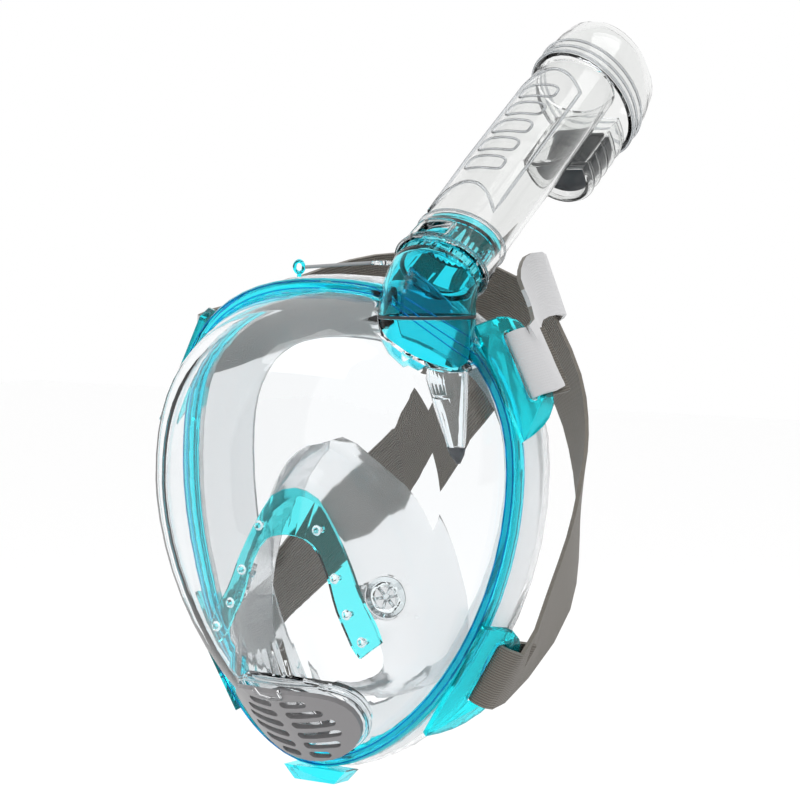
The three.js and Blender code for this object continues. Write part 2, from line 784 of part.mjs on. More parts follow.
function ductRing(z, halfX, halfY, count = 28) {
  const share = (SOCKET.bottom - z) / (SOCKET.bottom - DUCT.tip);
  return angles(count).map(
    (a) => new THREE.Vector3(DUCT.x + DUCT.drift * share + halfX * Math.cos(a), DUCT.y + 3 * share + halfY * Math.sin(a), z),
  );
}

function ductWedge() {
  const stations = [[SOCKET.bottom - GAP, 10, 9], [22, 8, 7], [DUCT.bottom, 4.6, 4]];
  const outer = stations.map(([z, a, b]) => ductRing(z, a, b));
  const inner = stations.map(([z, a, b]) => ductRing(z, a - 1.4, b - 1.4));
  const gill = (z, side) =>
    toPlain(new THREE.BoxGeometry(14, 3, 1.6).rotateX(side * 0.5).translate(DUCT.x, DUCT.y - 7, z));
  return cut(loft([...outer, ...inner.reverse()], true), ...[14, 20, 26].map((z) => gill(z, 1)));
}

function ductTip() {
  return loft([ductRing(DUCT.bottom - GAP, 4.6, 4), ductRing(1.5, 3.4, 3), ductRing(DUCT.tip, 1, 1)]);
}

const HOOK = new THREE.Vector3(29, -12, 83);
const ANCHOR = new THREE.Vector3(-15, -12, 80.6);

const EYE_RADIUS = 2.6;
const EYE_WIRE = 0.9;

function eye(post) {
  const ring = toPlain(new THREE.TorusGeometry(EYE_RADIUS, EYE_WIRE, 6, 14));
  return join(ring, toPlain(post));
}

function leashCord() {
  const clear = new THREE.Vector3(EYE_RADIUS + EYE_WIRE + GAP, 0, 0);
  const path = new THREE.LineCurve3(ANCHOR.clone().add(clear), HOOK.clone().sub(clear));
  const shape = new THREE.Shape();
  for (let i = 0; i < 8; i++) {
    const a = (i / 8) * 2 * Math.PI;
    if (i === 0) shape.moveTo(CORD_RADIUS, 0);
    else shape.lineTo(CORD_RADIUS * Math.cos(a), CORD_RADIUS * Math.sin(a));
  }
  return toPlain(new THREE.ExtrudeGeometry(shape, { steps: 1, bevelEnabled: false, extrudePath: path }));
}

// ---------- lugs and straps ----------

// Frame of axes at a place on the frame's edge: along it (downwards), out-and-back, and the plate's normal.
function edgeAxes(angle, side, splay) {
  const point = outlinePoint(FRAME, angle);
  const next = outlinePoint(FRAME, angle - 0.01);
  const along = new THREE.Vector3(next.x - point.x, 0, next.z - point.z).normalize();
  const outward = new THREE.Vector3(-along.z, 0, along.x);
  const back = outward.clone().multiplyScalar(Math.sin(splay)).add(new THREE.Vector3(0, Math.cos(splay), 0));
  const place = new THREE.Vector3(point.x, -frameForward(point.z), point.z).addScaledVector(outward, 1.6 + GAP);
  const normal = new THREE.Vector3().crossVectors(along, back);
  for (const v of [along, back, normal, place]) v.x *= side;
  return { along, back, normal, place };
}

const UPPER = { angle: 0.46, splay: 0.45 };
const LOWER = { angle: -0.72, splay: 0.4 };

// A strap lug: a plate with a rounded edge, a strap slot, and a rib along the frame.
function lugPlate(tail) {
  const shape = new THREE.Shape();
  shape.moveTo(-24, -4);
  shape.lineTo(24 + tail, -4);
  shape.quadraticCurveTo(24 + tail * 0.5, 10, 20, 15);
  shape.quadraticCurveTo(17, 18.5, 10, 18.5);
  shape.lineTo(-16, 18.5);
  shape.quadraticCurveTo(-24, 17, -25, 8);
  shape.closePath();
  shape.holes.push(slotPath(-2, 9.5, SLOT.length, SLOT.width));
  const plate = extrude(shape, LUG_THICK).translate(0, 0, -LUG_THICK / 2);
  return plate;
}

function placeLug(spot, side, tail) {
  const { along, back, place } = edgeAxes(spot.angle, side, spot.splay);
  const normal = new THREE.Vector3().crossVectors(along, back);
  const matrix = new THREE.Matrix4().makeBasis(along, back, normal).setPosition(place);
  return lugPlate(tail).applyMatrix4(matrix);
}

// A flat band along a curve, its width held near a chosen direction at each station.
function band(points, widths, count = 40) {
  const curve = new THREE.CatmullRomCurve3(points, false, "centripetal");
  const turn = new THREE.CatmullRomCurve3(widths, false, "centripetal");
  const rings = Array.from({ length: count }, (_, k) => {
    const t = k / (count - 1);
    const centre = curve.getPoint(t);
    const along = curve.getTangent(t);
    const wide = turn.getPoint(t);
    wide.addScaledVector(along, -wide.dot(along)).normalize();
    const thick = new THREE.Vector3().crossVectors(along, wide);
    return [[1, 1], [-1, 1], [-1, -1], [1, -1]].map(([a, b]) =>
      centre
        .clone()
        .addScaledVector(wide, (a * STRAP_WIDTH) / 2)
        .addScaledVector(thick, (b * STRAP_THICK) / 2),
    );
  });
  return loft(rings);
}

// Where a strap passes its lug: a short tail inside, through the slot, and away outside.
function lugPass(spot, side) {
  const { along, back, normal, place } = edgeAxes(spot.angle, side, spot.splay);
  const out = normal.clone().multiplyScalar(normal.x * side > 0 ? 1 : -1);
  const at = (b, o) => place.clone().addScaledVector(along, -2).addScaledVector(back, b).addScaledVector(out, o);
  return { along, points: [at(30, -4.2), at(21, -4.2), at(12.4, -3.2), at(9.2, 0), at(12.4, 3.2), at(19.8, 3.6)] };
}

// Outward direction of a head-shaped surface that the straps lie on.
function headNormal(p) {
  return new THREE.Vector3(p.x / 5600, (p.y - 45) / 8650, p.z / 30000).normalize();
}

// From the upper lug on one side, over the back of the head, to the lower lug on the other side.
function strap(side, outer) {
  const top = lugPass(UPPER, side);
  const low = lugPass(LOWER, -side);
  const behind = outer ? 9 : 0;
  const middle = [
    [81, 37, 51], [62, 55, 62], [42, 82 + behind / 2, 70], [22, 112 + 2.3 * behind, 69], [0, 133 + behind, 58], [-29, 132 + behind, 24],
    [-45, 121 + behind / 3, -6], [-60, 97, -32], [-74, 64, -62],
  ].map(([x, y, z]) => new THREE.Vector3(side * x, y, z));
  const points = [...top.points, ...middle, ...low.points.reverse()];
  const widths = points.map((p, i) => {
    if (i < top.points.length) return top.along.clone();
    if (i >= points.length - low.points.length) return low.along.clone();
    return headNormal(p).cross(points[i + 1].clone().sub(points[i - 1])).normalize();
  });
  for (let i = 1; i < widths.length; i++) if (widths[i].dot(widths[i - 1]) < 0) widths[i].negate();
  return band(points, widths, 64);
}

// ---------- assembly ----------

const room = join(socketRoom(), elbowRoom());
const edgeRoom = frameRoom();
const purge = purgeGroup();
purge.updateMatrix();
const purgeRoom = sweptOval(0.4, -COVER.lift - COVER.plate - 0.4, 30).applyMatrix4(purge.matrix);

add(mask, "lens_shield", cut(lensShield(), room, purgeRoom), CLEAR);
add(mask, "rim_frame", cut(rimFrame(), room), AQUA);
add(mask, "face_skirt", cut(faceSkirt(), room), SILICONE);

// Orinasal pocket, its bracket and the valves in its sides.
const sides = [["left", 1], ["right", -1]];
const sites = Object.fromEntries(sides.map(([name, side]) => [name, pocketSite(side)]));
const INHALE_RADIUS = 7;
const atSites = (radius, from, to) =>
  Object.values(sites).map(({ place, out }) =>
    toPlain(new THREE.CylinderGeometry(radius, radius, to - from, 24).rotateX(Math.PI / 2))
      .translate(0, 0, (from + to) / 2)
      .applyQuaternion(turnedTo(out))
      .translate(place.x, place.y, place.z),
  );
const bossed = join(orinasalPocket(), ...atSites(INHALE_RADIUS + 3, -2.4, 0));
add(
  mask,
  "orinasal_pocket",
  cut(bossed, ...atSites(INHALE_RADIUS + GAP, -12, 8), ...atSites(INHALE_RADIUS + 3, 0.1, 8)),
  SILICONE,
);
add(mask, "pocket_frame", pocketFrame(), AQUA);
for (const [name, side] of sides) {
  RIVET_PLACES.forEach(([x, z], k) => {
    const pin = add(mask, `pocket_rivet_${name}_${k + 1}`, rivet(), CLEAR);
    pin.position.set(side * x, -34 - BRACKET_THICK - 1.6, z);
    pin.rotation.x = Math.PI / 2;
  });
  const { place, out } = sites[name];
  const valve = new THREE.Group();
  valve.position.copy(place);
  valve.quaternion.copy(turnedTo(out));
  mask.add(valve);
  add(valve, `inhale_valve_seat_${name}`, valveSeat(INHALE_RADIUS, 3), GREY);
  add(valve, `inhale_flap_${name}`, valveFlap(INHALE_RADIUS), SILICONE).position.z = -0.9;
}


// Purge valve in the chin, its slotted cover and the bumper under it.
mask.add(purge);
add(purge, "purge_plate", purgePlate(), CLEAR);
add(purge, "purge_valve_seat", valveSeat(PURGE_RADIUS, 4), GREY).position.z = -COVER.lift;
add(purge, "purge_flap", valveFlap(PURGE_RADIUS), SILICONE).position.z = 1.9 - COVER.lift;
const cover = add(purge, "purge_cover", purgeCover(), GREY);
cover.position.z = COVER.lift;
const bumper = add(mask, "chin_bumper", extrude(chinBumper(), 10), AQUA);
bumper.rotation.x = Math.PI / 2;
bumper.position.y = -FRAME_CHIN_FORWARD + 5;

// Socket in the mask's upper left corner, with the seal and elbow above it.
add(mask, "socket_base", socketPipe(0, SOCKET_WALL), AQUA);
const seal = lathe(
  [[SOCKET_RADIUS - 2.4, 0], [SOCKET_RADIUS - 0.2, 0], [SOCKET_RADIUS, SEAL_THICK / 2], [SOCKET_RADIUS - 0.2, SEAL_THICK - GAP],
    [SOCKET_RADIUS - 2.4, SEAL_THICK - GAP], [SOCKET_RADIUS - 2.4, 0]],
  40,
);
add(mask, "socket_seal", seal, BLACK).position.set(SOCKET.x, SOCKET.y, SOCKET.seal);
const stem = snorkelFrame();
stem.updateMatrix();
add(mask, "socket_elbow", join(elbowShell(), neck().applyMatrix4(stem.matrix)), AQUA);

add(mask, "elbow_divider", elbowDivider(), AQUA);
add(mask, "duct_wedge", ductWedge(), CLEAR);
add(mask, "duct_tip", ductTip(), BLACK);

// Leash between an eye on the frame's top edge and an eye on the snorkel's collar.
const post = new THREE.CylinderGeometry(1, 1, 2.4, 10);
const anchor = add(mask, "leash_anchor", eye(post.clone().translate(0, -3.2, 0)), AQUA);
anchor.position.copy(ANCHOR);
anchor.rotation.x = Math.PI / 2;
const hook = add(mask, "leash_hook", eye(new THREE.CylinderGeometry(1, 1, 4, 10).rotateZ(Math.PI / 2).translate(4.2, 0, 0)), CLEAR);
hook.position.copy(HOOK);
add(mask, "leash_cord", leashCord(), BLACK);

// The snorkel, in its own frame: up the tube is +Z and the tube's front is -Y.
mask.add(stem);
add(stem, "neck_o_ring", neckRing(), BLACK);
add(stem, "latch_button", latchButton(), CLEAR);
add(stem, "snorkel_tube", snorkelTube(), CLEAR);
add(stem, "top_cap", topCap(), CLEAR);
add(stem, "float_housing", floatHousing(), CLEAR);
add(stem, "dry_top_float", floatBody(), GREY);

// Lugs on the frame's edge and the harness they hold.
for (const [name, side] of sides) {
  add(mask, `upper_lug_${name}`, cut(placeLug(UPPER, side, 6), edgeRoom, room), AQUA);
  add(mask, `lower_lug_${name}`, cut(placeLug(LOWER, side, 10), edgeRoom), AQUA);
  add(mask, `strap_${name}`, strap(side, side > 0), WEBBING);
}

export default mask;
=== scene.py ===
import itertools
import json
import math

import bmesh
import bpy
from mathutils import Matrix, Vector


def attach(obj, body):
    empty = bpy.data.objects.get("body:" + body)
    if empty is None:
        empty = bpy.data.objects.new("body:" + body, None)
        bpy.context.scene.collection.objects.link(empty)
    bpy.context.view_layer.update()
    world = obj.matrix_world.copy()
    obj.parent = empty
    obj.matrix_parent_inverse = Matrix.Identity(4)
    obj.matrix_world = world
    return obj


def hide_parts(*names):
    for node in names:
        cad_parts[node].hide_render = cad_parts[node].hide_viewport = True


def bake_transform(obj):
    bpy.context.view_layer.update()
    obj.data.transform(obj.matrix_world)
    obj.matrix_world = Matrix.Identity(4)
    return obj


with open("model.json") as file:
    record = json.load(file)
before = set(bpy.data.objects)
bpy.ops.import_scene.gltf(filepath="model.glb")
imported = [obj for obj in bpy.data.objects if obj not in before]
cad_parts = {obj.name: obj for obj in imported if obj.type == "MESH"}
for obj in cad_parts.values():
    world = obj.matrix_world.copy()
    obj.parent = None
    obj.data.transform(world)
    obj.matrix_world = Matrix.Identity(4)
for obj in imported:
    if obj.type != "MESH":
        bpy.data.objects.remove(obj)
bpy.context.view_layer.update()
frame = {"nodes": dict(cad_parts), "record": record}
nodes = frame["nodes"]

# ---- Camera, light and floor ------------------------------------------------
# The mask is seen from its wearer's left front, a little above eye level. It is
# held up as worn, so the pale floor lies well below its chin.
view_azimuth = math.radians(37)
view_elevation = math.radians(4)
view_distance = 1.3
sensor_width = 36
picture_width = 800
picture_scale = 2270
view_back = Vector((
    math.sin(view_azimuth) * math.cos(view_elevation),
    -math.cos(view_azimuth) * math.cos(view_elevation),
    math.sin(view_elevation),
))
view_right = Vector((math.cos(view_azimuth), math.sin(view_azimuth), 0))
view_up = view_back.cross(view_right)
view_centre = view_right * 0.025 + view_up * 0.022

camera_data = bpy.data.cameras.new("camera")
camera_data.sensor_width = sensor_width
camera_data.lens = sensor_width * view_distance * picture_scale / picture_width
camera_data.clip_end = 50
camera = bpy.data.objects.new("camera", camera_data)
bpy.context.collection.objects.link(camera)
camera.matrix_world = Matrix.Translation(view_centre + view_back * view_distance) @ Matrix(
    (view_right, view_up, view_back)
).transposed().to_4x4()
bpy.context.scene.camera = camera
bpy.context.scene.view_settings.view_transform = "Standard"

room = bpy.data.worlds.new("white_room")
bpy.context.scene.world = room
room.use_nodes = True
room.node_tree.nodes["Background"].inputs["Color"].default_value = (1, 1, 1, 1)
room.node_tree.nodes["Background"].inputs["Strength"].default_value = 1.0


def soft_light(name, place, size, power):
    lamp = bpy.data.lights.new(name, "AREA")
    lamp.size = size
    lamp.energy = power
    holder = bpy.data.objects.new(name, lamp)
    bpy.context.collection.objects.link(holder)
    holder.location = place
    holder.rotation_euler = (-Vector(place)).to_track_quat("-Z", "Y").to_euler()


soft_light("key_light", (-0.9, -1.2, 1.3), 0.8, 9)
soft_light("top_light", (0.5, 0.6, 1.4), 0.9, 7)


def solid_finish(name, colour, rough):
    made = bpy.data.materials.new(name)
    made.use_nodes = True
    shader = made.node_tree.nodes["Principled BSDF"]
    shader.inputs["Base Color"].default_value = (*colour, 1)
    shader.inputs["Roughness"].default_value = rough
    return made


def flat_sheet(name, place, width, height, paint):
    bpy.ops.object.select_all(action="DESELECT")
    bpy.ops.mesh.primitive_plane_add(size=1)
    sheet = bpy.context.object
    sheet.name = name
    turn = Vector(place).to_track_quat("Z", "Y").to_matrix().to_4x4()
    sheet.data.transform(Matrix.Translation(place) @ turn @ Matrix.Diagonal((width, height, 1, 1)))
    sheet.data.materials.append(paint)
    return sheet


floor_height = -0.5
floor_paint = solid_finish("pale_floor", (0.985, 0.985, 0.985), 0.9)
flat_sheet("floor", (0, 0, floor_height), 12, 12, floor_paint)

# Two grey sheets far out to the sides draw the edges of the clear plastic. They
# show only in it, and stand well outside any view's camera.
card_paint = solid_finish("card_grey", (0.2, 0.21, 0.22), 0.9)
card_reach = 4
card_forward = 0.9
for label, side in (("left", -1), ("right", 1)):
    card_place = view_back * card_forward + view_right * card_reach * side
    card = flat_sheet(label + "_card", tuple(card_place), 1.0, 5.4, card_paint)
    card.visible_camera = False
    card.visible_diffuse = False
    card.visible_shadow = False

# ---- Leash ------------------------------------------------------------------
# A thin braided elastic cord, tied taut between an eye on the frame's top edge
# and an eye on the snorkel's collar. It is drawn as a fixed straight tube that
# stays put when the snorkel is pulled off.
leash_start = Vector((-0.0112, -0.012, 0.0806))
leash_end = Vector((0.0252, -0.012, 0.083))
leash_thickness = 0.0016
leash_path = [leash_start.lerp(leash_end, step / 24) for step in range(25)]
leash_line = bpy.data.curves.new("leash", "CURVE")
leash_line.dimensions = "3D"
leash_line.bevel_depth = leash_thickness / 2
leash_line.bevel_resolution = 3
leash_line.use_fill_caps = True
run = leash_line.splines.new("POLY")
run.points.add(len(leash_path) - 1)
for target, point in zip(run.points, leash_path):
    target.co = (*point, 1)
leash = bpy.data.objects.new("leash", leash_line)
bpy.context.collection.objects.link(leash)


def select_only(piece):
    bpy.ops.object.select_all(action="DESELECT")
    piece.select_set(True)
    bpy.context.view_layer.objects.active = piece


select_only(leash)
bpy.ops.object.convert(target="MESH")
leash = bpy.context.object
braid = solid_finish("grey_braid", (0.3, 0.31, 0.32), 0.8)
braid_net = braid.node_tree
strands = braid_net.nodes.new("ShaderNodeTexWave")
strands.wave_type = "BANDS"
strands.bands_direction = "DIAGONAL"
strands.inputs["Scale"].default_value = 900
strand_relief = braid_net.nodes.new("ShaderNodeBump")
strand_relief.inputs["Strength"].default_value = 0.6
strand_relief.inputs["Distance"].default_value = 0.0002
place = braid_net.nodes.new("ShaderNodeTexCoord")
braid_net.links.new(place.outputs["Object"], strands.inputs["Vector"])
braid_net.links.new(strands.outputs["Fac"], strand_relief.inputs["Height"])
braid_shader = braid_net.nodes["Principled BSDF"]
braid_net.links.new(strand_relief.outputs["Normal"], braid_shader.inputs["Normal"])
leash.data.materials.clear()
leash.data.materials.append(braid)
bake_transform(leash)
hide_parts("leash_cord")


# ---- Lens -------------------------------------------------------------------
# One injection-moulded shell of clear polycarbonate, side wall and domed front
# together. It sits in the frame's groove and is polished inside and out.
def clear_plastic(name, tint, rough=0.015, ior=1.45, clear=1.0):
    made = bpy.data.materials.new(name)
    made.use_nodes = True
    shader = made.node_tree.nodes["Principled BSDF"]
    shader.inputs["Base Color"].default_value = (*tint, 1)
    shader.inputs["Roughness"].default_value = rough
    shader.inputs["IOR"].default_value = ior
    shader.inputs["Transmission Weight"].default_value = clear
    return made


def mottle(material, scale, strength, depth):
    """The faint unevenness that a moulded surface keeps."""
    net = material.node_tree
    where = net.nodes.new("ShaderNodeTexCoord")
    noise = net.nodes.new("ShaderNodeTexNoise")
    noise.inputs["Scale"].default_value = scale
    relief = net.nodes.new("ShaderNodeBump")
    relief.inputs["Strength"].default_value = strength
    relief.inputs["Distance"].default_value = depth
    net.links.new(where.outputs["Object"], noise.inputs["Vector"])
    net.links.new(noise.outputs["Fac"], relief.inputs["Height"])
    net.links.new(relief.outputs["Normal"], net.nodes["Principled BSDF"].inputs["Normal"])
    return material


def body_holding(node):
    bodies = frame["record"]["behaviour"]["bodies"]
    return next(name for name, held in bodies.items() if node in held)


JOIN_WITHIN = 2e-6


def smooth_copy(node, material, angle=38):
    """A node's own shape with its loose triangles joined and its curves shaded smooth."""
    mesh = nodes[node].data.copy()
    work = bmesh.new()
    work.from_mesh(mesh)
    bmesh.ops.remove_doubles(work, verts=work.verts, dist=JOIN_WITHIN)
    work.to_mesh(mesh)
    work.free()
    mesh.materials.clear()
    mesh.materials.append(material)
    piece = bpy.data.objects.new(node + "_finished", mesh)
    bpy.context.collection.objects.link(piece)
    select_only(piece)
    bpy.ops.object.shade_smooth_by_angle(angle=math.radians(angle))
    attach(piece, body_holding(node))
    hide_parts(node)


lens_clear = clear_plastic("lens_clear", (0.97, 0.985, 0.995), 0.01, 1.36)
smooth_copy("lens_shield", lens_clear, 30)

# ---- Rim frame and chin bumper ----------------------------------------------
# The frame is two clipped rings of tinted translucent polycarbonate that grip
# the lens and the skirt. The bumper under the chin is moulded with it.
aqua = clear_plastic("aqua_clear", (0.02, 0.85, 0.97), 0.04, 1.33)
for node in ("rim_frame", "chin_bumper", "leash_anchor"):
    smooth_copy(node, aqua)


# ---- Lines on the rim frame -------------------------------------------------
# The frame's front and back have fine moulded lines along their edges, tinted a
# darker, deeper blue than the frame: painted shade along the edges. They follow
# the egg-shaped ring, all but the socket.
def bead_piece(name, loops, radius, material, body, closed=True):
    """Thin raised lines, each along its own run of points in millimetres."""
    line = bpy.data.curves.new(name, "CURVE")
    line.dimensions = "3D"
    line.bevel_depth = radius
    line.bevel_resolution = 2
    for points in loops:
        spline = line.splines.new("POLY")
        spline.points.add(len(points) - 1)
        spline.use_cyclic_u = closed
        for target, point in zip(spline.points, points):
            target.co = (*[value / 1000 for value in point], 1)
    piece = bpy.data.objects.new(name, line)
    bpy.context.collection.objects.link(piece)
    select_only(piece)
    bpy.ops.object.convert(target="MESH")
    piece = bpy.context.object
    piece.data.materials.clear()
    piece.data.materials.append(material)
    for face in piece.data.polygons:
        face.use_smooth = True
    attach(piece, body)


def signed_power(value, exponent):
    return math.copysign(abs(value) ** exponent, value)


FRAME_HALF = 95
FRAME_UP = 81
FRAME_DOWN = 133
FRAME_MIDDLE = -5
SOCKET_CENTRE = (55, -12.4)
STEPS_ROUND = 144


def frame_edge(inset, back, step):
    """A point of the frame, drawn in from its outer edge, at one step of the way round."""
    angle = step / STEPS_ROUND * 2 * math.pi
    above = math.sin(angle) >= 0
    exponent = 2 / (2.33 if above else 1.88)
    reach = FRAME_UP if above else FRAME_DOWN
    bow = 12 if above else 16
    lift = signed_power(math.sin(angle), exponent)
    x = (FRAME_HALF - inset) * signed_power(math.cos(angle), exponent)
    return x, back - bow * lift**2, FRAME_MIDDLE + (reach - inset) * lift


def clear_of_socket(point):
    away = math.hypot(point[0] - SOCKET_CENTRE[0], point[1] - SOCKET_CENTRE[1])
    return away > 22.4 or point[2] < 30


# Darker blue than the frame, this tint is painted shade along the frame's edges.
frame_line_painted_shade = clear_plastic("frame_line_painted_shade", (0.005, 0.42, 0.85), 0.05, 1.2)
for label, inset, back in (("outer", 1.2, -4.2), ("inner", 4.3, -4.2), ("rear", 1.2, 4.2)):
    ring = [frame_edge(inset, back, step) for step in range(STEPS_ROUND)]
    top = STEPS_ROUND // 4
    ring = [point for point in ring[top:] + ring[:top] if clear_of_socket(point)]
    name = "frame_line_" + label
    bead_piece(name, [ring], 0.00032, frame_line_painted_shade, "mask", closed=False)

# ---- Face skirt -------------------------------------------------------------
# Milky clear liquid silicone, moulded as one bellows wall with a thin lip that
# is turned inwards and seals against the face.
silicone = clear_plastic("silicone_clear", (0.96, 0.97, 0.98), 0.12, 1.25, 0.8)
mottle(silicone, 120, 0.15, 0.0004)
smooth_copy("face_skirt", silicone)

# ---- Orinasal pocket, its bracket and rivets --------------------------------
# A softer silicone cup over nose and mouth. The inverted V bracket clamps its
# front edge to the lens with push rivets.
pocket_silicone = clear_plastic("pocket_silicone", (0.96, 0.97, 0.98), 0.08, 1.25, 0.86)
mottle(pocket_silicone, 120, 0.12, 0.0004)
smooth_copy("orinasal_pocket", pocket_silicone)
bracket_aqua = clear_plastic("bracket_aqua", (0.12, 0.9, 0.95), 0.05, 1.25)
smooth_copy("pocket_frame", bracket_aqua, 30)
rivet_clear = clear_plastic("rivet_clear", (0.85, 0.97, 0.99), 0.05)
for node in sorted(nodes):
    if node.startswith("pocket_rivet"):
        smooth_copy(node, rivet_clear)

# ---- One-way valves of the pocket -------------------------------------------
# Small clear seats pushed into the pocket's side walls, each with a thin soft
# disc behind its bars.
valve_clear = clear_plastic("valve_clear", (0.9, 0.95, 0.96), 0.08, 1.3)
for side in ("left", "right"):
    smooth_copy("inhale_valve_seat_" + side, valve_clear)
    smooth_copy("inhale_flap_" + side, silicone)

# ---- Purge valve and cover --------------------------------------------------
# A clear plate closes the lens at the chin and holds the valve. The slotted
# cover of grey filled nylon snaps over it.
smooth_copy("purge_plate", lens_clear)
nylon = mottle(solid_finish("grey_nylon", (0.2, 0.195, 0.2), 0.38), 900, 0.25, 0.0002)
for node in ("purge_cover", "purge_valve_seat"):
    smooth_copy(node, nylon, 30)
smooth_copy("purge_flap", silicone)


# ---- Purge cover's rim and tab ----------------------------------------------
# A fine clear rim of the plate stands round the cover, and a tab over the
# cover's top edge holds it.
chin_tilt = math.radians(130)
CHIN = (0, -34.1, -114.2)
COVER_HALF_WIDTH = 32
COVER_HALF_HEIGHT = 22
COVER_SWEEP = 9


def on_chin(x, y, height):
    """A point over the chin's slope, swept back as the cover is."""
    z = height - COVER_SWEEP * (x / COVER_HALF_WIDTH) ** 2
    turned_y = y * math.cos(chin_tilt) - z * math.sin(chin_tilt)
    turned_z = y * math.sin(chin_tilt) + z * math.cos(chin_tilt)
    return x, CHIN[1] + turned_y, CHIN[2] + turned_z


def chin_oval(grow, height):
    ring = []
    for step in range(96):
        angle = step / 96 * 2 * math.pi
        x = (COVER_HALF_WIDTH + grow) * signed_power(math.cos(angle), 2 / 2.3)
        y = (COVER_HALF_HEIGHT + grow) * signed_power(math.sin(angle), 2 / 2.3)
        ring.append(on_chin(x, y, height))
    return ring


rims = [chin_oval(0.9, 1.2), chin_oval(0.9, -1.2)]
bead_piece("purge_rim", rims, 0.0007, lens_clear, "mask")
tab_line = ((-7, 24.2), (-6, 19.5), (0, 18.6), (6, 19.5), (7, 24.2))
tab = [on_chin(x, y, 6.2) for x, y in tab_line]
bead_piece("purge_tab", [tab], 0.0009, lens_clear, "mask", closed=False)

# ---- Socket, seal and elbow -------------------------------------------------
# The socket is moulded in the same tinted plastic as the frame. A black ring
# seals it to the elbow, in which a wall parts fresh from used air.
elbow_aqua = clear_plastic("elbow_aqua", (0.16, 0.88, 0.975), 0.02, 1.18)
for node in ("socket_base", "socket_elbow"):
    smooth_copy(node, elbow_aqua)
divider_blue = clear_plastic("divider_blue", (0.25, 0.74, 0.95), 0.1, 1.1)
smooth_copy("elbow_divider", divider_blue)
rubber = mottle(solid_finish("black_rubber", (0.012, 0.016, 0.018), 0.45), 400, 0.2, 0.0002)
for node in ("socket_seal", "neck_o_ring"):
    smooth_copy(node, rubber)
smooth_copy("duct_wedge", clear_plastic("duct_clear", (0.97, 0.99, 1.0), 0.03, 1.4))
smooth_copy("duct_tip", solid_finish("dark_tip", (0.03, 0.035, 0.045), 0.4))

# ---- Snorkel tube and cap ---------------------------------------------------
# The tube is one clear moulding with its collar. The cap and the float's
# housing are clear too, welded on, and all lift off the neck together.
tube_clear = clear_plastic("tube_clear", (0.89, 0.895, 0.89), 0.02, 1.33)
# A darker grey copy of the tube's clear plastic: painted shade for its raised lines.
raised_line_painted_shade = clear_plastic("raised_line_painted_shade", (0.62, 0.64, 0.66), 0.04, 1.45)
for node in ("snorkel_tube", "top_cap", "float_housing", "leash_hook"):
    smooth_copy(node, tube_clear)


# ---- Lines and grips of the snorkel -----------------------------------------
# The tube's front has a raised border with plain rounded grips inside it. Rings
# stiffen the collar, the cap and the float's housing, all in the same plastic.
# The border, the grips and the rings of the cap and collar are drawn in a darker
# grey tint than the tube, which is painted shade along these raised lines.
lean = math.radians(-52)
STEM = (55, -3.18, 80.41)
COLLAR_TOP = 26
BORDER_TURN = 52
GRIP_HEIGHTS = (54, 67, 80, 93, 106)
HOUSING_RING_HEIGHTS = (98, 105, 112, 119, 126)


def on_snorkel(x, y, z):
    """A point along the leaning snorkel, z up from the elbow's neck."""
    turned_y = y * math.cos(lean) - z * math.sin(lean)
    turned_z = y * math.sin(lean) + z * math.cos(lean)
    return x + STEM[0], STEM[1] + turned_y, STEM[2] + turned_z


def tube_front(degrees, up):
    """A point on the tube's outside, at an angle round from its front."""
    widening = min(1, (up - COLLAR_TOP) / 38)
    narrowing = max(0, (up - 64) / 66)
    half_x = 21.8 + 0.4 * widening - narrowing
    half_y = 16.2 + 0.5 * widening - 0.5 * narrowing
    turn = math.radians(degrees)
    return on_snorkel(half_x * math.sin(turn), -half_y * math.cos(turn), up)


border = []
for k in range(27):
    turn = -BORDER_TURN + 4 * k
    border.append(tube_front(turn, 27 + 13 * math.cos(math.radians(turn * 1.7))))
for k in range(1, 13):
    border.append(tube_front(BORDER_TURN, 30 + 80 * k / 12))
for k in range(27):
    crown = 10 * math.sin(math.radians(k * 180 / 26))
    border.append(tube_front(BORDER_TURN - 4 * k, 112 + crown))
for k in range(12):
    border.append(tube_front(-BORDER_TURN, 110 - 80 * k / 12))
bead_piece("tube_border", [border], 0.0008, raised_line_painted_shade, "snorkel")


def tube_grip(middle, half_turn=26, half_up=4.2):
    """A rounded bar's outline on the tube's front, round one height."""
    loop = []
    for step in range(40):
        angle = step / 20 * math.pi
        across = half_turn * signed_power(math.cos(angle), 0.4)
        loop.append(tube_front(across, middle + half_up * signed_power(math.sin(angle), 0.6)))
    return loop


grips = [tube_grip(up) for up in GRIP_HEIGHTS]
bead_piece("tube_grips", grips, 0.0006, raised_line_painted_shade, "snorkel")


def snorkel_oval(half_x, half_y, up, shift=0):
    ring = []
    for step in range(72):
        angle = step / 36 * math.pi
        ring.append(on_snorkel(half_x * math.cos(angle), shift + half_y * math.sin(angle), up))
    return ring


cap_rings = [
    snorkel_oval(24.7, 29.7, 131.4, 10),
    snorkel_oval(24.3, 29.3, 135.5, 10),
    snorkel_oval(24.7, 29.7, 139.5, 10),
]
bead_piece("cap_rings", cap_rings, 0.0007, raised_line_painted_shade, "snorkel")
collar_rings = [snorkel_oval(22.8, 18, 1.4), snorkel_oval(21.8, 16.9, 19.5)]
bead_piece("collar_rings", collar_rings, 0.0007, raised_line_painted_shade, "snorkel")


def collar_front(across, up):
    """A point on the collar's outside, near the latch."""
    half_x = 22.9 - 0.9 * (up - 1.4) / 18
    half_y = 18.3 - 1.1 * (up - 1.4) / 18
    return on_snorkel(across, -half_y * math.sqrt(1 - (across / half_x) ** 2), up)


